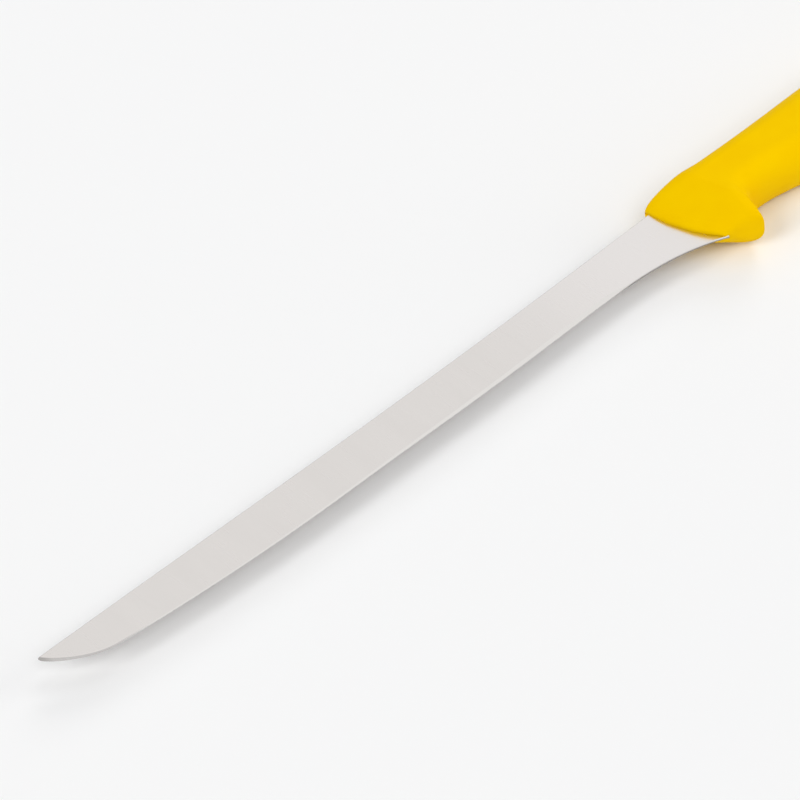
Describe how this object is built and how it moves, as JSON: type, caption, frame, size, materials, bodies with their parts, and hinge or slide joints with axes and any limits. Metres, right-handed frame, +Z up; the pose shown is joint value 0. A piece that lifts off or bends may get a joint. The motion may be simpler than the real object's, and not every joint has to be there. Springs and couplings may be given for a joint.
{
  "type": "ham knife",
  "caption": "Long narrow slicing knife: ground steel blade with a rounded point, hidden tang, moulded handle with finger guard, finger recess and hooked butt.",
  "frame": {"origin": "on the surface that the knife lies on, under the middle of its bounding box", "axes": "+X from the point towards the butt, +Y from the cutting edge towards the spine, +Z up, square to the blade's flat side"},
  "size_m": [0.3722, 0.0336, 0.0184],
  "materials": {
    "stainless_steel": "fine satin grind along the faces, polished bevel",
    "core_plastic": "as moulded, hidden",
    "grip_plastic": "fine spark-textured, matte yellow"
  },
  "bodies": {
    "root": {"blade": "stainless_steel", "handle_core": "core_plastic", "handle_grip": "grip_plastic"}
  },
  "joints": []
}
